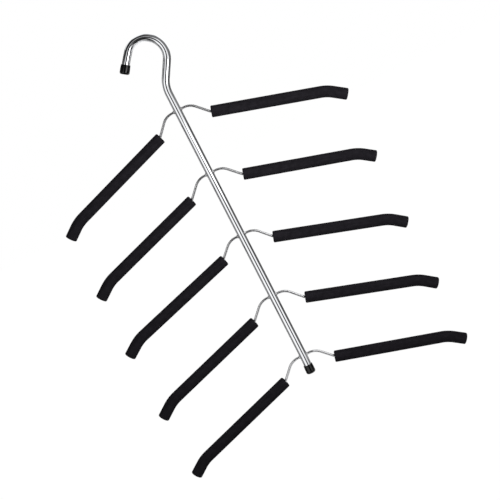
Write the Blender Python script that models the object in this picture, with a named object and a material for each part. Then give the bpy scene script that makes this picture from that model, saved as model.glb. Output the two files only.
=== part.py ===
# Five-layer clothes hanger: a bent tube with a hook, and five sleeved wire arms through its pole.
# Metres, +Z up. The origin is the hook's seat, the top of its inside, where a rail bears.
# The arms and the hook lie in the XZ plane, and the hook opens towards -X.

import cmath
import math

import bmesh
import bpy

# Tube, bent into the hook, the neck and the pole
TUBE_RADIUS = 0.0050
TUBE_WALL = 0.0008
HOOK_TIP_LENGTH = 0.0265
HOOK_TIP_BEND_RADIUS = 0.0225
HOOK_TIP_BEND_DEG = 82.0
HOOK_TOP_BEND_RADIUS = 0.0258
HOOK_TOP_BEND_DEG = 90.0
NECK_LENGTH = 0.0229
NECK_BEND_RADIUS = 0.0340
NECK_LEAN_DEG = 31.0
NECK_TO_FIRST_ARM = 0.0237
POLE_TAIL = 0.0252

# Layers of arms down the pole, and how far each welded wire leans off square (left arm low is positive)
TIER_PITCH = 0.0872
TIER_LEANS_DEG = (0.8, 0.45, -1.0, -0.55, 0.3)

# Arm wire, from the pole outwards
WIRE_RADIUS = 0.0015
WIRE_FLAT_LENGTH = 0.0080
SHOULDER_RADIUS = 0.0200
SHOULDER_DEG = 46.0
LEG_LENGTH = 0.0183
ENTRY_RADIUS = 0.0060
ARM_SLOPE_DEG = 17.4
ARM_LENGTH = 0.1363
TIP_BEND_RADIUS = 0.0500
TIP_BEND_DEG = 18.6
TIP_LENGTH = 0.0138

# Foam sleeve
FOAM_RADIUS = 0.0071
FOAM_RIM = 0.0008
FOAM_LAP = 0.0028
FOAM_OVERHANG = 0.0030

# End cap
CAP_WALL = 0.0006
CAP_FLARE = 0.0003
CAP_FLOOR = 0.0012
CAP_LENGTH = 0.0120
CAP_RIM = 0.0020

# Weld collar round a wire, against the pole
WELD_WIDTH = 0.0012
WELD_HEIGHT = 0.0013
WELD_EDGE = 0.0003

# Fits
CLEARANCE = 0.0003
CUT_OVERRUN = 0.0020
LEAST_FACET = 0.0001

# Facets
TUBE_SIDES = 20
WIRE_SIDES = 8
FOAM_SIDES = 16
WELD_SIDES = 10
HOLE_SIDES = 12
TUBE_STEP_DEG = 8.0
WIRE_STEP_DEG = 9.5
FOAM_STEP_DEG = 4.7

BORE_RADIUS = WIRE_RADIUS + CLEARANCE
RIGHT_ANGLE_DEG = 90.0
RIM_SHARES = ((0.0, 1.0), (0.3, 0.3), (1.0, 0.0))
ROUND_SHARES = ((0.0, 1.0), (0.134, 0.5), (0.5, 0.134), (1.0, 0.0))


class Centreline:
    """A line bent in the XZ plane by feeding it straight and bending it in turn.

    Places are complex numbers, x + z*1j. A positive bend turns left.
    """

    def __init__(self, start, heading_deg, moves):
        self.runs = []
        self.length = 0.0
        place = start
        heading = cmath.rect(1, math.radians(heading_deg))
        for kind, *sizes in moves:
            radius, turn = 0.0, 0.0
            length = sizes[0]
            if kind == "bend":
                radius, turn = sizes[0], math.radians(sizes[1])
                length = radius * abs(turn)
            self.runs.append((self.length, length, place, heading, radius, turn))
            place, heading = self.along(self.runs[-1], length)
            self.length += length

    @staticmethod
    def along(run, distance):
        """Give the place and heading at a distance into one run."""
        _, length, place, heading, radius, turn = run
        if not turn:
            return place + heading * distance, heading
        bent = cmath.rect(1, turn * distance / length)
        centre = place + heading * 1j * math.copysign(radius, turn)
        return centre + (place - centre) * bent, heading * bent

    def at(self, station):
        """Give the place and heading at a station; past either end the line runs on straight."""
        if station <= 0:
            _, _, place, heading, _, _ = self.runs[0]
            return place + heading * station, heading
        for run in self.runs:
            if station < run[0] + run[1]:
                return self.along(run, station - run[0])
        place, heading = self.along(self.runs[-1], self.runs[-1][1])
        return place + heading * (station - self.length), heading

    def stations(self, first, last, step_deg):
        """Give the stations between two others where a facet ends: each run's ends and steps round its bend."""
        found = []
        for start, length, _, _, _, turn in self.runs:
            steps = max(1, round(math.degrees(abs(turn)) / step_deg))
            found += [start + length * (i + 1) / steps for i in range(steps)]
        return [s for s in found if first + LEAST_FACET < s < last - LEAST_FACET]

    def moved(self, shift):
        """Shift the whole line."""
        self.runs = [(s, length, place + shift, *rest) for s, length, place, *rest in self.runs]
        return self


class MirroredLine:
    """A centreline that carries on, mirrored, at negative stations."""

    def __init__(self, half):
        self.half = half

    def at(self, station):
        place, heading = self.half.at(abs(station))
        if station >= 0:
            return place, heading
        return complex(-place.real, place.imag), complex(heading.real, -heading.imag)


def swept_mesh(name, line, rings, sides, closed=False, turn_share=0.0):
    """Loft rings of (station, radius) along a centreline. A closed loft joins its last ring to its first."""
    bm = bmesh.new()
    loops = []
    for station, radius in rings:
        place, heading = line.at(station)
        upwards = heading * 1j
        loop = []
        for i in range(sides):
            angle = 2 * math.pi * (i + turn_share) / sides
            spot = place + upwards * radius * math.cos(angle)
            loop.append(bm.verts.new((spot.real, radius * math.sin(angle), spot.imag)))
        loops.append(loop)
    pairs = list(zip(loops, loops[1:]))
    if closed:
        pairs.append((loops[-1], loops[0]))
    for near, far in pairs:
        for i in range(sides):
            j = (i + 1) % sides
            bm.faces.new((near[i], near[j], far[j], far[i]))
    if not closed:
        bm.faces.new(loops[0])
        bm.faces.new(loops[-1])
    bmesh.ops.recalc_face_normals(bm, faces=bm.faces)
    mesh = bpy.data.meshes.new(name)
    bm.to_mesh(mesh)
    bm.free()
    mesh.shade_smooth()
    mesh.set_sharp_from_angle(angle=math.radians(RIGHT_ANGLE_DEG / 2))
    return mesh


def make_material(name, colour, roughness, metallic):
    material = bpy.data.materials.new(name)
    material.use_nodes = True
    shader = material.node_tree.nodes["Principled BSDF"]
    shader.inputs["Base Color"].default_value = (*colour, 1)
    shader.inputs["Roughness"].default_value = roughness
    shader.inputs["Metallic"].default_value = metallic
    return material


def add_object(name, mesh, material, parent=None, half_turn=False):
    """Place a mesh as a named piece; a half turn about Z makes a left piece from a right one."""
    piece = bpy.data.objects.new(name, mesh)
    bpy.context.collection.objects.link(piece)
    if not mesh.materials:
        mesh.materials.append(material)
    piece.parent = parent
    if half_turn:
        piece.rotation_euler = (0, 0, math.pi)
    return piece


def add_cutter(name, mesh, parent=None):
    cutter = bpy.data.objects.new(name, mesh)
    bpy.context.collection.objects.link(cutter)
    cutter.parent = parent
    cutter.hide_render = True
    cutter.display_type = "WIRE"
    return cutter


def cut(piece, cutter):
    modifier = piece.modifiers.new("Cut " + cutter.name, "BOOLEAN")
    modifier.operation = "DIFFERENCE"
    modifier.object = cutter
    modifier.solver = "EXACT"


def tube_line():
    """Bend the tube from the hook's free end round to the pole's foot, with the hook's seat at the origin."""
    pole_length = NECK_TO_FIRST_ARM + TIER_PITCH * (len(TIER_LEANS_DEG) - 1) + POLE_TAIL - CAP_FLOOR - CLEARANCE
    moves = [
        ("feed", HOOK_TIP_LENGTH),
        ("bend", HOOK_TIP_BEND_RADIUS, -HOOK_TIP_BEND_DEG),
        ("bend", HOOK_TOP_BEND_RADIUS, -HOOK_TOP_BEND_DEG),
        ("feed", NECK_LENGTH),
        ("bend", NECK_BEND_RADIUS, NECK_LEAN_DEG),
        ("feed", pole_length),
    ]
    # the pole hangs straight down, so the free end starts turned by all the bends together
    start_deg = -RIGHT_ANGLE_DEG + HOOK_TIP_BEND_DEG + HOOK_TOP_BEND_DEG - NECK_LEAN_DEG
    line = Centreline(0, start_deg, moves)
    # the seat is where the first bend has levelled out
    seat_station = HOOK_TIP_LENGTH + HOOK_TIP_BEND_RADIUS * math.radians(start_deg)
    if start_deg > HOOK_TIP_BEND_DEG:
        past_deg = start_deg - HOOK_TIP_BEND_DEG
        seat_station = HOOK_TIP_LENGTH + HOOK_TIP_BEND_RADIUS * math.radians(HOOK_TIP_BEND_DEG)
        seat_station += HOOK_TOP_BEND_RADIUS * math.radians(past_deg)
    return line.moved(TUBE_RADIUS * 1j - line.at(seat_station)[0])


def wire_line():
    """Bend one half of an arm wire, from the pole's axis out to the tip."""
    moves = [
        ("feed", WIRE_FLAT_LENGTH),
        ("bend", SHOULDER_RADIUS, -SHOULDER_DEG),
        ("feed", LEG_LENGTH),
        ("bend", ENTRY_RADIUS, SHOULDER_DEG - ARM_SLOPE_DEG),
        ("feed", ARM_LENGTH),
        ("bend", TIP_BEND_RADIUS, -TIP_BEND_DEG),
        ("feed", TIP_LENGTH),
    ]
    return Centreline(0, 0, moves)


def tube_mesh(line):
    """Hollow tube, open at both ends."""
    between = line.stations(0, line.length, TUBE_STEP_DEG)
    stations = [0, *between, line.length]
    outside = [(s, TUBE_RADIUS) for s in stations]
    inside = [(s, TUBE_RADIUS - TUBE_WALL) for s in reversed(stations)]
    return swept_mesh("hook_pole", line, outside + inside, TUBE_SIDES, closed=True)


def wire_mesh(half):
    """Whole wire: the right half of its centreline and the same one turned round for the left."""
    stations = [*half.stations(0, half.length, WIRE_STEP_DEG), half.length]
    rings = [(-s, WIRE_RADIUS) for s in reversed(stations)] + [(s, WIRE_RADIUS) for s in stations]
    return swept_mesh("arm_wire", MirroredLine(half), rings, WIRE_SIDES)


def sleeve_mesh(wire):
    """Foam tube on the arm, round its bend: rounded cut ends, a bore for the wire and an opened mouth."""
    entry_end = wire.runs[4][0]
    start = entry_end - FOAM_LAP
    end = wire.length + FOAM_OVERHANG
    place, heading = wire.at(entry_end)
    arm_moves = [
        ("feed", ARM_LENGTH + FOAM_LAP),
        ("bend", TIP_BEND_RADIUS, -TIP_BEND_DEG),
        ("feed", TIP_LENGTH + FOAM_OVERHANG),
    ]
    line = Centreline(place - heading * FOAM_LAP, -ARM_SLOPE_DEG, arm_moves)
    length = end - start
    between = line.stations(0, length, FOAM_STEP_DEG)
    mouth_radius = BORE_RADIUS + FOAM_LAP * math.tan(math.radians(SHOULDER_DEG - ARM_SLOPE_DEG))
    outside = [(FOAM_RIM * s, FOAM_RADIUS - FOAM_RIM * r) for s, r in RIM_SHARES]
    outside += [(s, FOAM_RADIUS) for s in between]
    outside += [(length - FOAM_RIM * s, FOAM_RADIUS - FOAM_RIM * r) for s, r in reversed(RIM_SHARES)]
    inside = [(length, BORE_RADIUS)]
    inside += [(s, BORE_RADIUS) for s in reversed(between)]
    inside += [(FOAM_LAP, BORE_RADIUS), (0, mouth_radius)]
    return swept_mesh("foam_sleeve", line, outside + inside, FOAM_SIDES, closed=True)


def cap_mesh(name, place, heading):
    """Slip-on cup, a little wider towards its rounded end, on a straight line that starts at its open rim."""
    line = Centreline(place, math.degrees(cmath.phase(heading)), [("feed", CAP_LENGTH)])
    bore = TUBE_RADIUS + CLEARANCE
    widest = bore + CAP_WALL + CAP_FLARE
    rings = [(CAP_LENGTH - CAP_FLOOR, bore), (0, bore), (0, bore + CAP_WALL)]
    rings += [(CAP_LENGTH - CAP_RIM * s, widest - CAP_RIM * r) for s, r in reversed(ROUND_SHARES)]
    return swept_mesh(name, line, rings, TUBE_SIDES)


def weld_mesh():
    """Tapered collar round the wire, long enough behind to be cut to the pole's round."""
    face = TUBE_RADIUS + CLEARANCE
    root = BORE_RADIUS + WELD_HEIGHT
    back = math.sqrt(face ** 2 - root ** 2) - CLEARANCE
    front = face + WELD_WIDTH
    middle = face + WELD_WIDTH / 2
    line = Centreline(0, 0, [("feed", front)])
    rings = [(back, BORE_RADIUS), (back, root), (face, root)]
    rings += [(middle, BORE_RADIUS + WELD_HEIGHT / 2), (front, BORE_RADIUS + WELD_EDGE), (front, BORE_RADIUS)]
    return swept_mesh("weld", line, rings, WELD_SIDES, closed=True, turn_share=0.5)


def hole_cutter_mesh():
    """Drill through both walls of the pole, along the arm."""
    reach = TUBE_RADIUS + CUT_OVERRUN
    line = Centreline(-reach, 0, [("feed", 2 * reach)])
    return swept_mesh("hole", line, [(0, BORE_RADIUS), (2 * reach, BORE_RADIUS)], HOLE_SIDES, turn_share=0.5)


def pole_cutter_mesh(pole_x, top, bottom):
    """The pole's round with its clearance, for seating the welds."""
    line = Centreline(complex(pole_x, top), -RIGHT_ANGLE_DEG, [("feed", top - bottom)])
    radius = TUBE_RADIUS + CLEARANCE
    return swept_mesh("pole_round", line, [(0, radius), (top - bottom, radius)], TUBE_SIDES)


def add_tier(index, pole_x, height, lean_deg, meshes, materials, pole, pole_round):
    """One layer: its wire through drilled holes, with a weld collar and a foam sleeve on each side."""
    number = str(index + 1)
    tier = bpy.data.objects.new("tier_" + number, None)
    bpy.context.collection.objects.link(tier)
    tier.location = (pole_x, 0, height)
    tier.rotation_euler = (0, -math.radians(lean_deg), 0)
    cut(pole, add_cutter("hole_" + number, meshes["hole"], tier))
    add_object("arm_wire_" + number, meshes["wire"], materials["wire"], tier)
    for side, half_turn in (("right", False), ("left", True)):
        add_object(f"foam_sleeve_{side}_{number}", meshes["sleeve"], materials["foam"], tier, half_turn)
        weld = add_object(f"weld_{side}_{number}", meshes["weld"], materials["weld"], tier, half_turn)
        cut(weld, pole_round)


def make_materials():
    return {
        "chrome": make_material("chrome_tube", (0.80, 0.81, 0.83), 0.08, 1.0),
        "wire": make_material("steel_wire", (0.60, 0.60, 0.62), 0.22, 1.0),
        "weld": make_material("weld_metal", (0.62, 0.62, 0.63), 0.35, 1.0),
        "foam": make_material("black_foam", (0.018, 0.018, 0.020), 0.92, 0.0),
        "vinyl": make_material("black_vinyl", (0.010, 0.010, 0.011), 0.30, 0.0),
    }


def main():
    for old in list(bpy.data.objects):
        bpy.data.objects.remove(old)
    materials = make_materials()

    line = tube_line()
    pole = add_object("hook_pole", tube_mesh(line), materials["chrome"])
    foot, down = line.at(line.length)
    cap_start = CAP_LENGTH - CAP_FLOOR - CLEARANCE
    add_object("pole_end_cap", cap_mesh("pole_end_cap", foot - down * cap_start, down), materials["vinyl"])
    tip, along_tip = line.at(0)
    tip_cap = cap_mesh("hook_end_cap", tip + along_tip * cap_start, -along_tip)
    add_object("hook_end_cap", tip_cap, materials["vinyl"])

    pole_top = line.runs[-1][2].imag
    first_arm = pole_top - NECK_TO_FIRST_ARM
    pole_round = add_cutter("pole_round", pole_cutter_mesh(foot.real, pole_top, foot.imag))
    wire = wire_line()
    meshes = {"wire": wire_mesh(wire), "sleeve": sleeve_mesh(wire), "weld": weld_mesh(), "hole": hole_cutter_mesh()}
    for index, lean_deg in enumerate(TIER_LEANS_DEG):
        height = first_arm - index * TIER_PITCH
        add_tier(index, foot.real, height, lean_deg, meshes, materials, pole, pole_round)


main()
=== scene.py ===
import cmath
import math
import random

import bmesh
import bpy
from mathutils import Matrix, Vector


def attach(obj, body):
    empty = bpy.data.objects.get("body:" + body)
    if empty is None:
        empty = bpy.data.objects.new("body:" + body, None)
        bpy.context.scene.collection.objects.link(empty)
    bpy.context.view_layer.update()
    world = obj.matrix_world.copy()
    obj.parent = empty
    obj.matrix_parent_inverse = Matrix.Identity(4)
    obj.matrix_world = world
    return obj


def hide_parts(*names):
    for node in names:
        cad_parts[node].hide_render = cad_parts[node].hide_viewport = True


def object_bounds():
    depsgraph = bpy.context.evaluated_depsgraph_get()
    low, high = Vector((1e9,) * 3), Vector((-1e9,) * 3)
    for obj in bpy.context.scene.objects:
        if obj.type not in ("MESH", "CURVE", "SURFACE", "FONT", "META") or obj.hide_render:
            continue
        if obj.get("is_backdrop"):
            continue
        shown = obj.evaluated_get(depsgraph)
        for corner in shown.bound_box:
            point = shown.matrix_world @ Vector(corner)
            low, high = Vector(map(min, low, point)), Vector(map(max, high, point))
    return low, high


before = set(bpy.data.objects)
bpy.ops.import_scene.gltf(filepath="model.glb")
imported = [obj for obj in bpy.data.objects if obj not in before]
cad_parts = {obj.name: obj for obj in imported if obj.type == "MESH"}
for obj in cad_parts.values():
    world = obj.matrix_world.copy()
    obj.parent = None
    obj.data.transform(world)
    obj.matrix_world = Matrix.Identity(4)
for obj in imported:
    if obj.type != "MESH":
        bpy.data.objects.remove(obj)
cadLow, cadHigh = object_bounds()
print("frame:", len(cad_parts), "solids")

sides = (("Right", False), ("Left", True))   # a left piece is a right one turned half round
white = (1, 1, 1, 1)


def addObject(name, data):
    made = bpy.data.objects.new(name, data)
    bpy.context.scene.collection.objects.link(made)
    return made


def meshOf(bm, name):
    mesh = bpy.data.meshes.new(name)
    bm.to_mesh(mesh)
    bm.free()
    return mesh


def shadeSmooth(mesh, sharpDegrees):
    mesh.shade_smooth()
    mesh.set_sharp_from_angle(angle=math.radians(sharpDegrees))


def addNode(tree, kind, inputs=None, **settings):   # a socket among the inputs is linked, a value is set
    node = tree.nodes.new(kind)
    for name, value in settings.items():
        setattr(node, name, value)
    for key, value in (inputs or {}).items():
        if isinstance(value, bpy.types.NodeSocket):
            tree.links.new(value, node.inputs[key])
        else:
            node.inputs[key].default_value = value
    return node


def addMath(tree, operation, *values):
    return addNode(tree, "ShaderNodeMath", dict(enumerate(values)), operation=operation).outputs[0]


def addVectorMath(tree, operation, *values):
    node = addNode(tree, "ShaderNodeVectorMath", dict(enumerate(values)), operation=operation)
    return node.outputs["Value" if operation in ("DOT_PRODUCT", "LENGTH") else "Vector"]


def addScaled(tree, vector, size):
    return addNode(tree, "ShaderNodeVectorMath", {0: vector, "Scale": size}, operation="SCALE").outputs[0]


def addSteps(tree, value, fromLow, fromHigh, toLow=0.0, toHigh=1.0):   # smooth, from toLow to toHigh
    inputs = {0: value, 1: fromLow, 2: fromHigh, 3: toLow, 4: toHigh}
    return addNode(tree, "ShaderNodeMapRange", inputs, interpolation_type="SMOOTHSTEP").outputs[0]


def addMix(tree, first, second, share):
    kept = addMath(tree, "MULTIPLY", first, share)
    return addMath(tree, "ADD", kept, addMath(tree, "MULTIPLY", second, 1 - share))


def addNoise(tree, vector, scale=1.0, detail=2.0, roughness=0.5, seed=None):
    inputs = {"Vector": vector, "Scale": scale, "Detail": detail, "Roughness": roughness}
    if seed is None:
        return addNode(tree, "ShaderNodeTexNoise", inputs).outputs[0]
    return addNode(tree, "ShaderNodeTexNoise", {**inputs, "W": seed}, noise_dimensions="4D").outputs[0]


centreline = {"sameStation": 1e-6, "cornerReach": 2e-4, "curveStepDegrees": 1.0}


def alongRun(run, distance):   # the place and the heading this far along a run
    if not run["turn"]:
        return run["place"] + run["heading"] * distance, run["heading"]
    bent = cmath.rect(1, run["turn"] * distance / run["length"])
    centre = run["place"] + run["heading"] * 1j * math.copysign(run["radius"], run["turn"])
    return centre + (run["place"] - centre) * bent, run["heading"] * bent


def bendLine(moves, headingDegrees=0.0, place=0j):   # places are x + z*1j, and a positive bend turns left
    runs = []
    start = 0.0
    heading = cmath.rect(1, math.radians(headingDegrees))
    for kind, size, *degrees in moves:
        turn = math.radians(degrees[0]) if kind == "bend" else 0.0
        run = {"start": start, "length": size * abs(turn) if turn else size, "radius": size, "turn": turn}
        run.update(place=place, heading=heading)
        runs.append(run)
        place, heading = alongRun(run, run["length"])
        start += run["length"]
    return runs


def lineLength(line):
    return line[-1]["start"] + line[-1]["length"]


def pointAt(line, station):
    run = next((r for r in line if station <= r["start"] + r["length"]), line[-1])
    return alongRun(run, station - run["start"])


def lineStations(line, first, last, stepDegrees, stepLength=math.inf):   # ends of runs and steps between
    found = {first, last}
    for run in line:
        turnSteps = math.ceil(math.degrees(abs(run["turn"])) / stepDegrees)
        steps = max(1, turnSteps, math.ceil(run["length"] / stepLength))
        found.update(run["start"] + run["length"] * i / steps for i in range(steps + 1))
    ordered = sorted(s for s in found if first <= s <= last)
    return [s for i, s in enumerate(ordered) if i == 0 or s - ordered[i - 1] > centreline["sameStation"]]


def centrelineCurve(name, line):
    stations = lineStations(line, 0.0, lineLength(line), centreline["curveStepDegrees"])
    reach = centreline["cornerReach"]   # points so near to a run's end keep straight runs' tangents true
    for run in line[:-1]:
        end = run["start"] + run["length"]
        stations += [end - reach, end + reach]
    curve = bpy.data.curves.new(name, "CURVE")
    curve.dimensions = "3D"
    spline = curve.splines.new("POLY")
    spline.points.add(len(stations) - 1)
    for point, station in zip(spline.points, sorted(stations)):
        place = pointAt(line, station)[0]
        point.co = (place.real, 0, place.imag, 1)
    path = addObject(name, curve)
    path.hide_render = True
    return path


def turnedStock(name, rings, count, closed, sharpDegrees):   # a ring is (station, radius, lift)
    bm = bmesh.new()
    loops = []
    angles = [2 * math.pi * i / count for i in range(count)]
    for station, radius, *lift in rings:
        up = lift[0] if lift else 0.0
        ringPlaces = [(station, radius * math.sin(a), up + radius * math.cos(a)) for a in angles]
        loops.append([bm.verts.new(place) for place in ringPlaces])
    for near, far in list(zip(loops, loops[1:])) + ([(loops[-1], loops[0])] if closed else []):
        for i in range(count):
            j = (i + 1) % count
            bm.faces.new((near[i], near[j], far[j], far[i]))
    if not closed:
        for loop in (loops[0], loops[-1]):
            bm.faces.new(loop)
    bmesh.ops.recalc_face_normals(bm, faces=bm.faces)
    mesh = meshOf(bm, name)
    shadeSmooth(mesh, sharpDegrees)
    return mesh


def startTree(name, wanted, result):
    tree = bpy.data.node_groups.new(name, "GeometryNodeTree")
    sockets = {}
    for key, kind in wanted.items():
        socket = tree.interface.new_socket(key, in_out="INPUT", socket_type="NodeSocket" + kind)
        sockets[key] = socket.identifier
    tree.interface.new_socket(result, in_out="OUTPUT", socket_type="NodeSocketGeometry")
    return tree, sockets, addNode(tree, "NodeGroupInput").outputs


def addAttribute(tree, geometry, name, value, kind):
    inputs = {"Geometry": geometry, "Name": name, "Value": value}
    kept = addNode(tree, "GeometryNodeStoreNamedAttribute", inputs, data_type=kind, domain="POINT")
    return kept.outputs[0]


def addSwitch(tree, chosen, no, yes):
    inputs = {"Switch": chosen, "False": no, "True": yes}
    return addNode(tree, "GeometryNodeSwitch", inputs, input_type="FLOAT").outputs[0]


def bendTree():   # lays straight stock along a curve, sets it at its layer and gives it its finish
    tree, sockets, given = startTree("bendStock", {
        "Stock": "Geometry", "Centreline": "Object", "Layer Place": "Vector", "Layer Lean": "Float",
        "Turned Round": "Bool", "Finish": "Material",
    }, "Piece")
    straight = addNode(tree, "GeometryNodeInputPosition").outputs[0]
    kept = addAttribute(tree, given["Stock"], "stock", straight, "FLOAT_VECTOR")
    parts = addNode(tree, "ShaderNodeSeparateXYZ", {0: straight}).outputs
    path = addNode(tree, "GeometryNodeObjectInfo", {"Object": given["Centreline"]}).outputs["Geometry"]
    sampled = {"Curves": path, "Length": parts["X"]}
    spot = addNode(tree, "GeometryNodeSampleCurve", sampled, mode="LENGTH", use_all_curves=True).outputs
    across = addNode(tree, "ShaderNodeCombineXYZ", {"Y": parts["Y"]}).outputs[0]
    raised = addScaled(tree, addVectorMath(tree, "CROSS_PRODUCT", spot["Tangent"], (0, 1, 0)), parts["Z"])
    bent = addVectorMath(tree, "ADD", addVectorMath(tree, "ADD", spot["Position"], raised), across)
    shaped = addNode(tree, "GeometryNodeSetPosition", {"Geometry": kept, "Position": bent}).outputs[0]
    # turned half round, a piece leans the other way
    lean = addMath(tree, "MULTIPLY", given["Layer Lean"], addSwitch(tree, given["Turned Round"], -1.0, 1.0))
    halfTurn = addSwitch(tree, given["Turned Round"], 0.0, math.pi)
    angles = addNode(tree, "ShaderNodeCombineXYZ", {"Y": lean, "Z": halfTurn}).outputs[0]
    turning = addNode(tree, "FunctionNodeEulerToRotation", {0: angles}).outputs[0]
    placing = {"Geometry": shaped, "Translation": given["Layer Place"], "Rotation": turning}
    placed = addNode(tree, "GeometryNodeTransform", placing).outputs[0]
    real = addNode(tree, "GeometryNodeRealizeInstances", {0: placed}).outputs[0]
    dressed = {"Geometry": real, "Material": given["Finish"]}
    finished = addNode(tree, "GeometryNodeSetMaterial", dressed).outputs[0]
    addNode(tree, "NodeGroupOutput", {0: finished})
    return tree, sockets


foamSkin = {
    "skin": (2.0, 3.6),   # in bore radii: the bore's own wall isn't moved
    "seedStride": 7.31, "swellDetail": 3.0, "swellRoughness": 0.45,
    "driftScale": 240.0, "driftSize": 1.6, "foldPower": 0.6, "creaseFade": 0.004, "under": (0.25, 0.95),
    "grainScale": 900.0, "cutReach": 0.0009, "cutMark": (0.0001, 0.0005),
}


def addEnds(tree, along, length, near, far):   # one at both ends of the stock, nothing farther in than far
    start = addSteps(tree, along, near, far, 1.0, 0.0)
    inwards = [addMath(tree, "SUBTRACT", length, reach) for reach in (far, near)]
    return addMath(tree, "ADD", start, addSteps(tree, along, *inwards))


def addCreases(tree, given, place, radius, seed):   # foam squeezed under the tip bend folds faintly
    parts = addNode(tree, "ShaderNodeSeparateXYZ", {0: place}).outputs
    start, end, fade = given["Crease Start"], given["Crease End"], foamSkin["creaseFade"]
    drift = addNoise(tree, place, foamSkin["driftScale"], detail=1.0, seed=seed)
    count = addMath(tree, "DIVIDE", parts["X"], given["Crease Pitch"])
    wave = addMath(tree, "ADD", count, addMath(tree, "MULTIPLY", drift, foamSkin["driftSize"]))
    swing = addMath(tree, "ABSOLUTE", addMath(tree, "SINE", addMath(tree, "MULTIPLY", wave, math.pi)))
    fold = addMath(tree, "SUBTRACT", addMath(tree, "POWER", swing, foamSkin["foldPower"]), 1.0)
    down = addMath(tree, "DIVIDE", addMath(tree, "MULTIPLY", parts["Z"], -1.0), radius)
    under = addSteps(tree, down, *foamSkin["under"])
    rise = addSteps(tree, parts["X"], start, addMath(tree, "ADD", start, fade))
    fall = addSteps(tree, parts["X"], addMath(tree, "SUBTRACT", end, fade), end, 1.0, 0.0)
    within = addMath(tree, "MULTIPLY", rise, fall)
    crease = addMath(tree, "MULTIPLY", addMath(tree, "MULTIPLY", fold, under), within)
    return addMath(tree, "MULTIPLY", crease, given["Crease Depth"])


def foamTree():   # swells and creases on the outside of a straight sleeve, and knife cuts at its ends
    tree, sockets, given = startTree("foamSkin", {
        "Stock": "Geometry", "Seed": "Int", "Swell Depth": "Float", "Swell Scale": "Float",
        "Crease Depth": "Float", "Crease Pitch": "Float", "Crease Start": "Float", "Crease End": "Float",
        "Bore Radius": "Float", "Length": "Float", "Cut Depth": "Float", "Cut Skew": "Vector",
    }, "Skinned")
    place = addNode(tree, "GeometryNodeInputPosition").outputs[0]
    parts = addNode(tree, "ShaderNodeSeparateXYZ", {0: place}).outputs
    arm = addNode(tree, "ShaderNodeCombineXYZ", {"Y": parts["Y"], "Z": parts["Z"]}).outputs[0]
    outwards = addVectorMath(tree, "NORMALIZE", arm)
    radius = addVectorMath(tree, "LENGTH", arm)
    reaches = [addMath(tree, "MULTIPLY", given["Bore Radius"], share) for share in foamSkin["skin"]]
    skin = addSteps(tree, radius, *reaches)
    seed = addMath(tree, "MULTIPLY", given["Seed"], foamSkin["seedStride"])
    detail, roughness = foamSkin["swellDetail"], foamSkin["swellRoughness"]
    swell = addNoise(tree, place, given["Swell Scale"], detail, roughness, seed)
    swellSize = addMath(tree, "MULTIPLY", given["Swell Depth"], 2.0)
    swell = addMath(tree, "MULTIPLY", addMath(tree, "SUBTRACT", swell, 0.5), swellSize)
    crease = addCreases(tree, given, place, radius, seed)
    depth = addMath(tree, "MULTIPLY", addMath(tree, "ADD", swell, crease), skin)
    # knife cuts leave the end faces a little rough and not quite square
    grain = addNoise(tree, place, foamSkin["grainScale"], seed=seed)
    rough = addMath(tree, "MULTIPLY", addMath(tree, "SUBTRACT", grain, 0.5), given["Cut Depth"])
    rough = addMath(tree, "ADD", rough, addVectorMath(tree, "DOT_PRODUCT", arm, given["Cut Skew"]))
    nearEnds = addEnds(tree, parts["X"], given["Length"], 0.0, foamSkin["cutReach"])
    endShift = addMath(tree, "MULTIPLY", rough, nearEnds)
    endShift = addNode(tree, "ShaderNodeCombineXYZ", {"X": endShift}).outputs[0]
    moved = addVectorMath(tree, "ADD", addScaled(tree, outwards, depth), endShift)
    cutMark = addEnds(tree, parts["X"], given["Length"], *foamSkin["cutMark"])
    kept = addAttribute(tree, given["Stock"], "cutFace", cutMark, "FLOAT")
    skinned = addNode(tree, "GeometryNodeSetPosition", {"Geometry": kept, "Offset": moved}).outputs[0]
    addNode(tree, "NodeGroupOutput", {0: skinned})
    return tree, sockets


bendNodes, bendSockets = bendTree()
foamNodes, foamSockets = foamTree()


def addNodesModifier(stock, name, tree, sockets, values):
    modifier = stock.modifiers.new(name, "NODES")
    modifier.node_group = tree
    for key, value in values.items():
        modifier[sockets[key]] = value


def addPiece(name, mesh, node):
    mesh.name = name
    piece = addObject(name, mesh)
    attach(piece, "root")
    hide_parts(node)
    return piece


def finishPiece(name, stockMesh, path, material, node, layer=None, turnedRound=False, before=None):
    stock = addObject(name + "Stock", stockMesh)
    if before:
        before(stock)
    placing = layer or {"place": (0.0, 0.0, 0.0), "lean": 0.0}
    values = {
        "Centreline": path, "Layer Place": placing["place"], "Layer Lean": placing["lean"],
        "Turned Round": turnedRound, "Finish": material,
    }
    addNodesModifier(stock, "Bend", bendNodes, bendSockets, values)
    depsgraph = bpy.context.evaluated_depsgraph_get()
    shaped = stock.evaluated_get(depsgraph)
    mesh = bpy.data.meshes.new_from_object(shaped, preserve_all_data_layers=True, depsgraph=depsgraph)
    for used in (stock, path):
        bpy.data.objects.remove(used)
    return addPiece(name, mesh, node)


def newMaterial(name, colour, roughness, metallic=0.0, **sockets):
    material = bpy.data.materials.new(name)
    material.use_nodes = True
    tree = material.node_tree
    shader = tree.nodes["Principled BSDF"]
    shader.inputs["Base Color"].default_value = (*colour, 1)
    shader.inputs["Roughness"].default_value = roughness
    shader.inputs["Metallic"].default_value = metallic
    for key, value in sockets.items():
        shader.inputs[key].default_value = value
    return material, tree, shader


def clearedTree(owner):
    owner.use_nodes = True
    owner.node_tree.nodes.clear()
    return owner.node_tree


def stockPlace(tree):   # the straight stock's own place, so grain follows the bends
    return addNode(tree, "ShaderNodeAttribute", attribute_name="stock").outputs["Vector"]


def stretchedStock(tree, stretch):
    return addNode(tree, "ShaderNodeMapping", {"Vector": stockPlace(tree), "Scale": stretch}).outputs[0]


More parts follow.
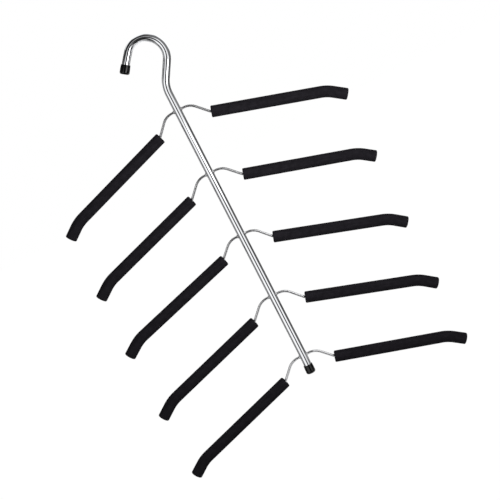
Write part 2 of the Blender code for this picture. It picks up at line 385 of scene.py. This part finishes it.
def objectPlace(tree):
    return addNode(tree, "ShaderNodeTexCoord").outputs["Object"]


def addBump(tree, height, strength, distance, under=None):
    inputs = {"Height": height, "Strength": strength, "Distance": distance}
    if under:
        inputs["Normal"] = under
    return addNode(tree, "ShaderNodeBump", inputs).outputs[0]


def addRoughness(tree, look, pattern):
    return addSteps(tree, pattern, *look["pattern"], look["roughnessLow"], look["roughnessHigh"])


chromeLook = {
    "colour": (0.80, 0.81, 0.83), "roughnessLow": 0.035, "roughnessHigh": 0.075, "pattern": (0.35, 0.70),
    "polishStretch": (30, 1600, 1600), "polishShare": 0.6, "hazeScale": 55.0, "bump": (0.02, 0.0001),
    "seatStation": 0.0465, "seatReach": (0.002, 0.011), "seatUnder": (-0.0047, -0.0030),
    "rubStretch": (2600, 120, 900), "rubPattern": (0.45, 0.75), "rubRoughness": (0.02, 0.22),
}


def makeChrome(look):
    material, tree, shader = newMaterial("brightChrome", look["colour"], look["roughnessLow"], 1.0)
    polish = addNoise(tree, stretchedStock(tree, look["polishStretch"]), detail=3.0)
    haze = addNoise(tree, stockPlace(tree), look["hazeScale"], detail=3.0)
    base = addRoughness(tree, look, addMix(tree, polish, haze, look["polishShare"]))
    # the underside of the hook's top is rubbed by the rail
    parts = addNode(tree, "ShaderNodeSeparateXYZ", {0: stockPlace(tree)}).outputs
    away = addMath(tree, "ABSOLUTE", addMath(tree, "SUBTRACT", parts["X"], look["seatStation"]))
    near = addSteps(tree, away, *look["seatReach"], 1.0, 0.0)
    seat = addMath(tree, "MULTIPLY", near, addSteps(tree, parts["Z"], *look["seatUnder"], 1.0, 0.0))
    rubs = addNoise(tree, stretchedStock(tree, look["rubStretch"]), detail=3.0, roughness=0.6)
    worn = addMath(tree, "MULTIPLY", seat, addSteps(tree, rubs, *look["rubPattern"], *look["rubRoughness"]))
    tree.links.new(addMath(tree, "ADD", base, worn), shader.inputs["Roughness"])
    tree.links.new(addBump(tree, polish, *look["bump"]), shader.inputs["Normal"])
    return material


wireLook = {
    "colour": (0.59, 0.59, 0.60), "roughnessLow": 0.24, "roughnessHigh": 0.34, "pattern": (0.35, 0.68),
    "drawnStretch": (70, 2600, 2600), "drawnShare": 0.6, "patchScale": 180.0, "bump": (0.08, 0.0001),
}


def makePlatedWire(look):
    material, tree, shader = newMaterial("platedWire", look["colour"], look["roughnessLow"], 1.0)
    drawn = addNoise(tree, stretchedStock(tree, look["drawnStretch"]), detail=3.0, roughness=0.6)
    patches = addNoise(tree, stockPlace(tree), look["patchScale"], detail=3.0)
    mixed = addMix(tree, drawn, patches, look["drawnShare"])
    tree.links.new(addRoughness(tree, look, mixed), shader.inputs["Roughness"])
    tree.links.new(addBump(tree, drawn, *look["bump"]), shader.inputs["Normal"])
    return material


weldLook = {
    "colour": (0.68, 0.68, 0.69), "roughnessLow": 0.22, "roughnessHigh": 0.42, "pattern": (0.35, 0.68),
    "spatterScale": 1500.0, "bump": (0.5, 0.00010),
}


def makeWeldMetal(look):
    material, tree, shader = newMaterial("weldMetal", look["colour"], look["roughnessLow"], 1.0)
    spatter = addNoise(tree, objectPlace(tree), look["spatterScale"], detail=4.0, roughness=0.6)
    tree.links.new(addRoughness(tree, look, spatter), shader.inputs["Roughness"])
    tree.links.new(addBump(tree, spatter, *look["bump"]), shader.inputs["Normal"])
    return material


foamLook = {
    "dark": (0.0078, 0.0071, 0.0087), "light": (0.0138, 0.0126, 0.0154), "cut": (0.0130, 0.0125, 0.0139),
    "roughness": 0.92, "roughnessLow": 0.84, "roughnessHigh": 0.96, "pattern": (0.3, 0.7), "shine": 0.05,
    "streakStretch": (45, 1500, 1500), "streakShare": 0.55, "patchScale": 160.0, "tone": (0.36, 0.66),
    "cellScale": 2600.0, "cellHeight": 0.55, "cutHeight": 1.2,   # a cut face is coarser than the skin
    "cellBump": (0.8, 0.00012), "streakBump": (0.6, 0.00008),
}


def addBlend(tree, share, first, second):
    inputs = {0: share, 6: first, 7: second}
    return addNode(tree, "ShaderNodeMix", inputs, data_type="RGBA").outputs[2]


def makeFoam(look):
    shine = {"Specular IOR Level": look["shine"]}
    material, tree, shader = newMaterial("blackFoam", look["light"], look["roughness"], **shine)
    streaks = addNoise(tree, stretchedStock(tree, look["streakStretch"]), detail=4.0, roughness=0.6)
    patches = addNoise(tree, stockPlace(tree), look["patchScale"], detail=4.0, roughness=0.55)
    spotted = {"Vector": stockPlace(tree), "Scale": look["cellScale"]}
    cells = addNode(tree, "ShaderNodeTexVoronoi", spotted, feature="SMOOTH_F1").outputs["Distance"]
    cutFace = addNode(tree, "ShaderNodeAttribute", attribute_name="cutFace").outputs["Fac"]
    tone = addSteps(tree, addMix(tree, streaks, patches, look["streakShare"]), *look["tone"])
    colour = addBlend(tree, tone, (*look["dark"], 1), (*look["light"], 1))
    tree.links.new(addBlend(tree, cutFace, colour, (*look["cut"], 1)), shader.inputs["Base Color"])
    tree.links.new(addRoughness(tree, look, patches), shader.inputs["Roughness"])
    height = addMath(tree, "ADD", addMath(tree, "MULTIPLY", cutFace, look["cutHeight"]), look["cellHeight"])
    bump = addBump(tree, addMath(tree, "MULTIPLY", cells, height), *look["cellBump"])
    tree.links.new(addBump(tree, streaks, *look["streakBump"], bump), shader.inputs["Normal"])
    return material


vinylLook = {
    "colour": (0.0012, 0.0012, 0.0014), "roughnessLow": 0.05, "roughnessHigh": 0.09, "pattern": (0.3, 0.7),
    "shine": 0.33, "hazeScale": 700.0, "peelScale": 1900.0, "bump": (0.25, 0.00006),
}


def makeVinyl(look):
    shine = {"Specular IOR Level": look["shine"]}
    material, tree, shader = newMaterial("blackVinyl", look["colour"], look["roughnessLow"], **shine)
    place = objectPlace(tree)
    haze = addNoise(tree, place, look["hazeScale"], detail=4.0)
    peel = addNoise(tree, place, look["peelScale"])
    tree.links.new(addRoughness(tree, look, haze), shader.inputs["Roughness"])
    tree.links.new(addBump(tree, peel, *look["bump"]), shader.inputs["Normal"])
    return material


finishes = {
    "chrome": makeChrome(chromeLook), "wire": makePlatedWire(wireLook), "weld": makeWeldMetal(weldLook),
    "foam": makeFoam(foamLook), "vinyl": makeVinyl(vinylLook),
}
print("finishes:", ", ".join(m.name for m in finishes.values()))


layers = {"pitch": 0.0872, "leanDegrees": (0.8, 0.45, -1.0, -0.55, 0.3), "neckToFirst": 0.0237}

tube = {
    "radius": 0.0050, "wall": 0.0008, "rim": 0.0002, "sides": 64, "stepDegrees": 2.0, "startDegrees": 54.0,
    "tip": [("feed", 0.0090), ("bend", 0.2000, -3.0), ("feed", 0.0070)],   # the free end isn't quite straight
    "hook": [("bend", 0.0225, -82.0), ("bend", 0.0258, -90.0), ("feed", 0.0229), ("bend", 0.0340, 31.0)],
    "foot": [("bend", 0.1500, -1.6), ("feed", 0.0216)], "footLead": 0.0021,   # above the last layer
    "holeRadius": 0.0018, "holeCollar": 0.0036, "holeSides": 32, "drillPast": 0.002, "sharpDegrees": 30.0,
}


def makeTubeLine():   # moved so that the seat, under the hook's top, is at the origin
    pole = layers["neckToFirst"] + layers["pitch"] * (len(layers["leanDegrees"]) - 1) - tube["footLead"]
    line = bendLine(tube["tip"] + tube["hook"] + [("feed", pole)] + tube["foot"], tube["startDegrees"])
    top = line[len(tube["tip"])]
    seatStation = top["start"] + top["radius"] * cmath.phase(top["heading"])
    shift = tube["radius"] * 1j - pointAt(line, seatStation)[0]
    return [{**run, "place": run["place"] + shift} for run in line]


tubeLine = makeTubeLine()
poleRun = tubeLine[-1 - len(tube["foot"])]
poleTop = poleRun["place"]
layerPlaces = []
for index, leanDegrees in enumerate(layers["leanDegrees"]):
    height = poleTop.imag - layers["neckToFirst"] - index * layers["pitch"]
    crossing = poleRun["start"] + poleTop.imag - height
    place = (poleTop.real, 0.0, height)
    layerPlaces.append({"place": place, "lean": math.radians(leanDegrees), "crossing": crossing})


def tubeStock():
    length, rim = lineLength(tubeLine), tube["rim"]
    stations = set(lineStations(tubeLine, rim, length - rim, tube["stepDegrees"]))
    for layer in layerPlaces:
        stations.update((layer["crossing"] - tube["holeCollar"], layer["crossing"] + tube["holeCollar"]))
    stations = sorted(stations)
    outer, inner = tube["radius"], tube["radius"] - tube["wall"]
    rings = [(0.0, outer - rim)] + [(s, outer) for s in stations] + [(length, outer - rim)]
    rings += [(length, inner + rim)] + [(s, inner) for s in reversed(stations)] + [(0.0, inner + rim)]
    return turnedStock("hookPoleStock", rings, tube["sides"], True, tube["sharpDegrees"])


def holeDrill():   # one drill through both walls at each layer, across the straight stock
    bm = bmesh.new()
    radius, depth = tube["holeRadius"], 2 * (tube["radius"] + tube["drillPast"])
    for layer in layerPlaces:
        turned = Matrix.Translation((layer["crossing"], 0, 0)) @ Matrix.Rotation(-layer["lean"], 4, "Y")
        bmesh.ops.create_cone(bm, cap_ends=True, segments=tube["holeSides"], radius1=radius, radius2=radius,
                              depth=depth, matrix=turned)
    drill = addObject("holeDrill", meshOf(bm, "holeDrill"))
    drill.hide_render = True
    return drill


def makeHookPole():
    drill = holeDrill()

    def drillHoles(stock):
        cut = stock.modifiers.new("Drill", "BOOLEAN")
        cut.operation, cut.object, cut.solver = "DIFFERENCE", drill, "EXACT"

    path = centrelineCurve("tubePath", tubeLine)
    piece = finishPiece("hookPole", tubeStock(), path, finishes["chrome"], "hook_pole",
                        before=drillHoles)
    bpy.data.objects.remove(drill)
    return piece


hookPole = makeHookPole()
print("tube:", len(hookPole.data.polygons), "faces")


cap = {
    "length": 0.0120, "floor": 0.0012, "gap": 0.0003, "bore": 0.0051, "mouthRadius": 0.0059, "radius": 0.0062,
    "lipLength": 0.0004, "lipSteps": 8, "round": 0.0023, "roundSteps": 12, "floorFillet": 0.0003, "sides": 72,
    "centre": 0.0004, "boreStations": (0.006, 0.003), "swellShares": (0.12, 0.3, 0.5, 0.7, 0.88, 1.0),
    "crown": ((0.00004, 0.0020), (0.00006, 0.0004)), "pathLength": 0.03, "sharpDegrees": 60.0,
}


def capStock(name):   # rings from the floor inside, through the bore and round the lip, to the outer end
    length, bore, outer, fillet = cap["length"], cap["bore"], cap["radius"], cap["floorFillet"]
    lip, mouth = cap["lipLength"], cap["mouthRadius"]
    floor, body = length - cap["floor"], length - cap["round"]
    rings = [(floor, cap["centre"]), (floor, bore - fillet), (floor - fillet, bore)]
    rings += [(s, bore) for s in cap["boreStations"]]
    for i in range(cap["lipSteps"] + 1):
        turn = math.pi * i / cap["lipSteps"]
        rings.append((lip * (1 - math.sin(turn)), bore + (mouth - bore) / 2 * (1 - math.cos(turn))))
    for share in cap["swellShares"]:
        rings.append((lip + (body - lip) * share, mouth + (outer - mouth) * math.sin(share * math.pi / 2)))
    for i in range(1, cap["roundSteps"] + 1):
        turn = math.pi / 2 * i / cap["roundSteps"]
        rings.append((body + cap["round"] * math.sin(turn), outer - cap["round"] * (1 - math.cos(turn))))
    rings += [(length + rise, radius) for rise, radius in cap["crown"]]
    return turnedStock(name, rings, cap["sides"], False, cap["sharpDegrees"])


def makeCap(name, node, station, outwards):   # outwards is +1 at the foot and -1 at the hook's free end
    place, heading = pointAt(tubeLine, station)
    start = place - heading * outwards * (cap["length"] - cap["floor"] - cap["gap"])
    degrees = math.degrees(cmath.phase(heading * outwards))
    path = centrelineCurve(name + "Path", bendLine([("feed", cap["pathLength"])], degrees, start))
    return finishPiece(name, capStock(name + "Stock"), path, finishes["vinyl"], node)


caps = [
    makeCap("hookEndCap", "hook_end_cap", 0.0, -1),
    makeCap("poleEndCap", "pole_end_cap", lineLength(tubeLine), 1),
]
print("caps:", len(caps))


wire = {
    "radius": 0.00170, "sides": 28, "stepDegrees": 2.5, "endRim": 0.0003, "sharpDegrees": 30.0,
    "half": [
        ("feed", 0.0080), ("bend", 0.0200, -46.0), ("feed", 0.0183), ("bend", 0.0060, 28.6),
        ("feed", 0.1363), ("bend", 0.0500, -18.6), ("feed", 0.0138),
    ],
    # for the right and the left arm of each layer
    "droopDegrees": ((0.28, 0.41), (-0.15, -0.20), (-0.10, -0.24), (0.45, 0.35), (-0.23, -0.15)),
    "tipShift": (
        (0.0012, -0.0017), (-0.0015, -0.0006), (-0.0006, -0.0002), (-0.0001, 0.0004), (-0.0010, -0.0025),
    ),
}


def armMoves(number, turnedRound):   # no two arms were bent or cut quite alike
    feed, (kind, radius, degrees), *others, (_, tip) = wire["half"]
    degrees -= wire["droopDegrees"][number - 1][turnedRound]
    tip += wire["tipShift"][number - 1][turnedRound]
    return [feed, (kind, radius, degrees), *others, ("feed", tip)]


def makeWireLine(number):   # from the left arm's tip, through the pole, to the right arm's
    right, left = armMoves(number, False), armMoves(number, True)
    leftHalf = bendLine(left)
    tip, heading = pointAt(leftHalf, lineLength(leftHalf))
    return bendLine(left[::-1] + right, -math.degrees(cmath.phase(heading)), complex(-tip.real, tip.imag))


def makeWires():
    rim, radius = wire["endRim"], wire["radius"]
    made = []
    for number, layer in enumerate(layerPlaces, 1):
        line = makeWireLine(number)
        length = lineLength(line)
        path = centrelineCurve("wirePath", line)
        stations = lineStations(line, rim, length - rim, wire["stepDegrees"])
        rings = [(0.0, radius - rim)] + [(s, radius) for s in stations] + [(length, radius - rim)]
        stock = turnedStock("wireStock", rings, wire["sides"], False, wire["sharpDegrees"])
        name, node = f"armWire{number}", f"arm_wire_{number}"
        made.append(finishPiece(name, stock, path, finishes["wire"], node, layer))
    return made


wires = makeWires()
print("wires:", len(wires))


weld = {
    "leg": 0.0014, "reach": 0.0014, "sink": 0.00012, "around": 60, "steps": 9, "waver": 0.32, "hollow": 1.25,
    "waveCounts": (1, 2, 3, 5, 8), "waveSizes": (0.3, 1.0), "firstSeed": 40, "sharpDegrees": 60.0,
}


def weldWaves(seed):   # (count round the wire, size, phase of the leg, phase of the reach)
    draw = random.Random(seed)
    waves = []
    for count in weld["waveCounts"]:
        size = draw.uniform(*weld["waveSizes"]) / count ** 0.5
        waves.append((count, size, draw.uniform(0, 2 * math.pi), draw.uniform(0, 2 * math.pi)))
    return waves


def weldProfile(leg, reach):   # (distance from the wire's axis, height above the tube) round the section
    hollow, sink, radius = weld["hollow"], weld["sink"], wire["radius"]
    shares = [i / weld["steps"] for i in range(weld["steps"] + 1)]
    face = [(radius + leg * (1 - t) ** hollow, reach * t ** hollow) for t in shares]
    return face + [(radius - sink, reach), (radius - sink, -sink), (radius + leg, -sink)]


def weldBead(name, seed, layer, turnedRound):
    waves = weldWaves(seed)
    total = sum(size for _, size, _, _ in waves)
    bm = bmesh.new()
    loops = []
    for i in range(weld["around"]):
        angle = 2 * math.pi * i / weld["around"]
        legWave = sum(size * math.sin(count * angle + first) for count, size, first, _ in waves) / total
        reachWave = sum(size * math.sin(count * angle + second) for count, size, _, second in waves) / total
        leg = weld["leg"] * (1 + weld["waver"] * legWave)
        reach = weld["reach"] * (1 + weld["waver"] * reachWave)
        loop = []
        for rho, lift in weldProfile(leg, reach):
            y, z = rho * math.sin(angle), rho * math.cos(angle)
            loop.append(bm.verts.new((math.sqrt(tube["radius"] ** 2 - y * y) + lift, y, z)))
        loops.append(loop)
    for i, loop in enumerate(loops):
        after = loops[(i + 1) % len(loops)]
        for j in range(len(loop)):
            k = (j + 1) % len(loop)
            bm.faces.new((loop[j], after[j], after[k], loop[k]))
    half = Matrix.Rotation(math.pi, 4, "Z") if turnedRound else Matrix.Identity(4)
    bm.transform(Matrix.Translation(layer["place"]) @ Matrix.Rotation(-layer["lean"], 4, "Y") @ half)
    bmesh.ops.recalc_face_normals(bm, faces=bm.faces)
    mesh = meshOf(bm, name)
    shadeSmooth(mesh, weld["sharpDegrees"])
    mesh.materials.append(finishes["weld"])
    return mesh


def makeWelds():
    made = []
    for number, layer in enumerate(layerPlaces, 1):
        for side, turnedRound in sides:
            name, node = f"weld{side}{number}", f"weld_{side.lower()}_{number}"
            mesh = weldBead(name, weld["firstSeed"] + 2 * number + turnedRound, layer, turnedRound)
            made.append(addPiece(name, mesh, node))
    return made


welds = makeWelds()
print("welds:", len(welds))


sleeve = {
    "radius": 0.0074, "rim": 0.0014, "rimSteps": 5, "mouthRound": 0.0003, "lap": 0.0028, "overhang": 0.0030,
    "bore": 0.00176, "relaxedBore": 0.00125, "sides": 56, "stepLength": 0.0008, "stepDegrees": 0.9,
    "endRoom": 0.0004, "endTaper": 0.0008, "boreInset": (0.001, 0.002), "boreStepDegrees": 3.0,
    "lapSteps": 10, "faceSteps": 4, "sharpDegrees": 50.0, "fill": 0.9, "seed": 11,
    # for the right and the left arm of each layer
    "nearShift": ((0.0012, -0.0005), (0.0013, 0.0003), (-0.0003, -0.0021), (0.0011, 0.0003), (0.0, 0.0005)),
    "swellDepth": 0.00006, "swellScale": 70.0, "creaseDepth": 0.00009, "creasePitch": 0.0031,
    "creaseMargin": 0.002, "cutDepth": 0.00010, "cutSkew": 0.012,
}


def makeSleeveLine(moves, lap):   # the wire's own moves from the sleeve's mouth to past the wire's end
    entry = bendLine(moves)[-3]
    start = entry["place"] - entry["heading"] * lap
    (_, straight), tipBend, (_, tip) = moves[-3:]
    kept = [("feed", straight + lap), tipBend, ("feed", tip + sleeve["overhang"])]
    return bendLine(kept, math.degrees(cmath.phase(entry["heading"])), start)


def wireLift(back):   # the wire's height over the sleeve's axis so far back from its entry, and its stretch
    _, radius, degrees = wire["half"][-4]   # the bend at the sleeve's mouth
    bend = math.radians(degrees)
    turn = min(bend, math.asin(min(1.0, max(0.0, back) / radius)))
    beyond = max(0.0, back - radius * math.sin(bend))
    return radius * (1 - math.cos(turn)) + beyond * math.tan(bend), 1 / math.cos(turn)


def sleeveStock(line, lap):   # rings from the mouth along the outside to the far end, back through the bore
    length = lineLength(line)
    wireEnd = length - sleeve["overhang"]
    outer, rim, bore, lip = sleeve["radius"], sleeve["rim"], sleeve["bore"], sleeve["mouthRound"]
    flat, far = outer - rim, sleeve["relaxedBore"] + lip
    turns = [math.pi / 2 * i / sleeve["rimSteps"] for i in range(sleeve["rimSteps"] + 1)]
    lift, stretch = wireLift(lap)
    near = bore * stretch + lip
    skin = lineStations(line, rim, length - rim, sleeve["stepDegrees"], sleeve["stepLength"])[1:-1]
    shares = [i / sleeve["faceSteps"] for i in range(sleeve["faceSteps"] + 1)]
    rings = [(0.0, near * (1 - f) + flat * f, lift * (1 - f)) for f in shares[:-1]]
    rings += [(rim * (1 - math.cos(t)), outer - rim * (1 - math.sin(t))) for t in turns]
    rings += [(s, outer) for s in skin]
    rings += [(length - rim * (1 - math.cos(t)), outer - rim * (1 - math.sin(t))) for t in reversed(turns)]
    rings += [(length, far * f + flat * (1 - f)) for f in shares[1:]]
    rings += [(length - lip * math.sin(t), far - lip * (1 - math.cos(t))) for t in turns[1:]]
    rings += [(wireEnd + sleeve["endTaper"], sleeve["relaxedBore"]), (wireEnd - sleeve["endRoom"], bore)]
    first, last = lap + sleeve["boreInset"][0], wireEnd - sleeve["boreInset"][1]
    rings += [(s, bore) for s in reversed(lineStations(line, first, last, sleeve["boreStepDegrees"]))]
    for i in range(sleeve["lapSteps"] - 1):
        back = lap * i / sleeve["lapSteps"]
        lifted, widened = wireLift(back)
        rings.append((lap - back, bore * widened, lifted))
    rings += [(lip * (1 - math.sin(t)), bore * stretch + lip * (1 - math.cos(t)), lift) for t in turns[:-1]]
    return turnedStock("foamSleeveStock", rings, sleeve["sides"], True, sleeve["sharpDegrees"])


def makeSleeve(number, side, turnedRound, cutSkew):
    lap = sleeve["lap"] - sleeve["nearShift"][number - 1][turnedRound]
    line = makeSleeveLine(armMoves(number, turnedRound), lap)
    values = {
        "Seed": 2 * number + turnedRound,
        "Swell Depth": sleeve["swellDepth"], "Swell Scale": sleeve["swellScale"],
        "Crease Depth": sleeve["creaseDepth"], "Crease Pitch": sleeve["creasePitch"],
        "Crease Start": line[1]["start"] - sleeve["creaseMargin"],
        "Crease End": line[2]["start"] + sleeve["creaseMargin"],
        "Bore Radius": sleeve["bore"], "Length": lineLength(line),
        "Cut Depth": sleeve["cutDepth"], "Cut Skew": cutSkew,
    }

    def skin(stock):
        addNodesModifier(stock, "Skin", foamNodes, foamSockets, values)

    name, node = f"foamSleeve{side}{number}", f"foam_sleeve_{side.lower()}_{number}"
    path = centrelineCurve("sleevePath", line)
    piece = finishPiece(name, sleeveStock(line, lap), path, finishes["foam"], node,
                        layerPlaces[number - 1], turnedRound, skin)
    return piece


def makeSleeves():
    draw = random.Random(sleeve["seed"])
    made = []
    for number in range(1, len(layerPlaces) + 1):
        for side, turnedRound in sides:
            skews = [draw.uniform(-1, 1) * sleeve["cutSkew"] for _ in range(2)]
            made.append(makeSleeve(number, side, turnedRound, (0.0, *skews)))
    return made


sleeves = makeSleeves()
print("sleeves:", len(sleeves), "of", len(sleeves[0].data.polygons), "faces")


studio = {
    "floorHeight": -1.75, "floorSize": 60.0, "floorGrey": 0.40, "floorGlow": 0.97, "ambient": 0.10,
    "glossyLevel": 1.2, "middle": (0.02, 0.0, -0.03), "cardSoft": 8.0, "cardStep": 2.0, "cardHighest": 89.0,
}

cards = (   # flags and boxes that only reflections show: "around" runs right from the viewer's side
    {"name": "underFlag", "away": 4.0, "around": (-135, 45), "up": (-90, -22), "lean": -1.5, "level": 0.01},
    {"name": "rightWall", "away": 1.3, "around": (60, 220), "up": (-35, 0), "lean": 0.0, "level": 0.13},
    {"name": "overhead", "away": 0.95, "around": (-105, 40), "up": (23, 75), "lean": 0.0, "level": 0.06},
    {"name": "lowGrey", "away": 0.70, "around": (40, 315), "up": (-85, -60), "lean": 0.3, "level": 0.85},
    {"name": "rightStrip", "away": 0.55, "around": (25, 50), "up": (-85, 70), "lean": 0.6, "level": 1.0},
    {"name": "cameraFlag", "away": 0.53, "around": (-20, 12), "up": (-70, 20), "lean": -0.1, "level": 0.03},
    {"name": "leftFlag", "away": 0.50, "around": (-125, -60), "up": (-80, 40), "lean": 0.1, "level": 0.24},
    {"name": "keyBox", "away": 0.49, "around": (-17, 6), "up": (-26, -12), "lean": -1.7, "level": 4.8},
    {"name": "upperLeft", "away": 0.35, "around": (-160, 60), "up": (34, 48), "lean": 1.4, "level": 0.01},
    {"name": "backBox", "away": 0.30, "around": (158, 202), "up": (-70, 60), "lean": 0.0, "level": 1.15},
    {"name": "backFlag", "away": 0.27, "around": (-190, -155), "up": (-15, 35), "lean": 1.2, "level": 0.05},
    {"name": "rightBand", "away": 0.20, "around": (45, 125), "up": (-15, 80), "lean": -0.35, "level": 0.20},
)

lamps = (
    {"name": "keyLamp", "around": 15, "up": -6, "away": 0.57, "size": 0.4, "power": 5.2},
    {"name": "fillLamp", "around": -8, "up": -38, "away": 1.15, "size": 0.7, "power": 2.2},
    {"name": "backLamp", "around": 178, "up": 4, "away": 0.9, "size": 0.6, "power": 7.5},
    {"name": "backFill", "around": 172, "up": -40, "away": 1.15, "size": 0.7, "power": 2.2},
)


def directionTo(aroundDegrees, upDegrees):
    turned, raised = math.radians(aroundDegrees), math.radians(upDegrees)
    level = math.cos(raised)
    return Vector((math.sin(turned) * level, -math.cos(turned) * level, math.sin(raised)))


def makeFloor():
    bm = bmesh.new()
    bmesh.ops.create_grid(bm, x_segments=1, y_segments=1, size=studio["floorSize"] / 2)
    mesh = meshOf(bm, "floor")
    mesh.transform(Matrix.Translation((0, 0, studio["floorHeight"])))
    floor = addObject("floor", mesh)
    material = bpy.data.materials.new("paleFloor")
    tree = clearedTree(material)
    seen = addNode(tree, "ShaderNodeLightPath").outputs["Is Camera Ray"]
    grey = studio["floorGrey"]
    matte = addNode(tree, "ShaderNodeBsdfDiffuse", {"Color": (grey, grey, grey, 1)}).outputs[0]
    strength = addMath(tree, "MULTIPLY", seen, studio["floorGlow"])
    glow = addNode(tree, "ShaderNodeEmission", {"Color": white, "Strength": strength}).outputs[0]
    both = addNode(tree, "ShaderNodeAddShader", {0: matte, 1: glow}).outputs[0]
    addNode(tree, "ShaderNodeOutputMaterial", {"Surface": both})
    mesh.materials.append(material)
    floor.visible_glossy = False
    floor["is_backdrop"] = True


def makeWorld():
    world = bpy.data.worlds.new("studio")
    bpy.context.scene.world = world
    world.cycles.sampling_method = "NONE"
    tree = clearedTree(world)

    def shine(strength):
        return addNode(tree, "ShaderNodeBackground", {"Color": white, "Strength": strength}).outputs[0]

    rays = addNode(tree, "ShaderNodeLightPath").outputs
    around = {0: rays["Is Glossy Ray"], 1: shine(studio["ambient"]), 2: shine(studio["glossyLevel"])}
    unseen = addNode(tree, "ShaderNodeMixShader", around).outputs[0]
    seen = {0: rays["Is Camera Ray"], 1: unseen, 2: shine(1.0)}
    seen = addNode(tree, "ShaderNodeMixShader", seen).outputs[0]
    addNode(tree, "ShaderNodeOutputWorld", {"Surface": seen})


def makeCardMaterial():
    material = bpy.data.materials.new("cardLight")
    material.cycles.emission_sampling = "NONE"
    tree = clearedTree(material)
    level = addNode(tree, "ShaderNodeAttribute", attribute_name="level").outputs["Fac"]
    cover = addNode(tree, "ShaderNodeAttribute", attribute_name="cover").outputs["Fac"]
    glow = addNode(tree, "ShaderNodeEmission", {"Color": white, "Strength": level}).outputs[0]
    clear = addNode(tree, "ShaderNodeBsdfTransparent").outputs[0]
    mixed = addNode(tree, "ShaderNodeMixShader", {0: cover, 1: clear, 2: glow}).outputs[0]
    addNode(tree, "ShaderNodeOutputMaterial", {"Surface": mixed})
    return material


def softEdge(value, low, high):
    inside = min(value - low, high - value) / studio["cardSoft"] + 0.5
    inside = min(max(inside, 0.0), 1.0)
    return inside * inside * (3 - 2 * inside)


def makeCard(card, material):   # a patch of a sphere round the hook, faded at its edges
    (left, right), (low, high) = card["around"], card["up"]
    soft, step, highest = studio["cardSoft"], studio["cardStep"], studio["cardHighest"]
    bottom, top = max(low - soft / 2, -highest), min(high + soft / 2, highest)
    across = math.ceil((right - left + soft) / step)
    up = math.ceil((top - bottom) / step)
    bm = bmesh.new()
    cover = bm.verts.layers.float.new("cover")
    level = bm.verts.layers.float.new("level")
    rows = []
    for i in range(up + 1):
        elevation = bottom + (top - bottom) * i / up
        row = []
        for j in range(across + 1):
            azimuth = left - soft / 2 + (right - left + soft) * j / across
            away = directionTo(azimuth + card["lean"] * elevation, elevation)
            vert = bm.verts.new(Vector(studio["middle"]) + away * card["away"])
            vert[cover] = softEdge(azimuth, left, right) * softEdge(elevation, low, high)
            vert[level] = card["level"]
            row.append(vert)
        rows.append(row)
    for lower, upper in zip(rows, rows[1:]):
        for j in range(across):
            bm.faces.new((lower[j], upper[j], upper[j + 1], lower[j + 1]))
    mesh = meshOf(bm, card["name"])
    mesh.shade_smooth()
    mesh.materials.append(material)
    patch = addObject(card["name"], mesh)
    for ray in ("camera", "diffuse", "transmission", "volume_scatter", "shadow"):
        setattr(patch, "visible_" + ray, False)
    patch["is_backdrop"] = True


def makeLamp(lamp):
    light = bpy.data.lights.new(lamp["name"], "AREA")
    light.shape, light.size, light.energy = "SQUARE", lamp["size"], lamp["power"]
    holder = addObject(lamp["name"], light)
    away = directionTo(lamp["around"], lamp["up"])
    holder.location = Vector(studio["middle"]) + away * lamp["away"]
    holder.rotation_euler = away.to_track_quat("Z", "Y").to_euler()
    holder.visible_glossy = holder.visible_camera = False


makeFloor()
makeWorld()
for lamp in lamps:
    makeLamp(lamp)
cardMaterial = makeCardMaterial()
for card in cards:
    makeCard(card, cardMaterial)
print("studio: floor, world,", len(cards), "cards and", len(lamps), "lamps")


view = {
    "lens": 85.0, "sensorWidth": 36.0, "rollDegrees": 27.173,
    "place": (0.0497, -1.4758, -0.0943), "target": (0.0046, 0.0, -0.2910),
}


def makeCamera():
    data = bpy.data.cameras.new("camera")
    data.lens, data.sensor_width = view["lens"], view["sensorWidth"]
    camera = addObject("camera", data)
    place = Vector(view["place"])
    forwards = (Vector(view["target"]) - place).normalized()
    level = forwards.cross(Vector((0, 0, 1))).normalized()
    upright = level.cross(forwards)
    roll = math.radians(view["rollDegrees"])
    upwards = upright * math.cos(roll) + level * math.sin(roll)
    sideways = level * math.cos(roll) - upright * math.sin(roll)
    turned = Matrix((sideways, upwards, -forwards)).transposed().to_4x4()
    camera.matrix_world = Matrix.Translation(place) @ turned
    bpy.context.scene.camera = camera


makeCamera()
bpy.context.scene.view_settings.view_transform = "Standard"
newLow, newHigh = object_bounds()
newSize, cadSize = ([round(v * 1000, 1) for v in size] for size in (newHigh - newLow, cadHigh - cadLow))
print("box:", newSize, "mm against", cadSize)
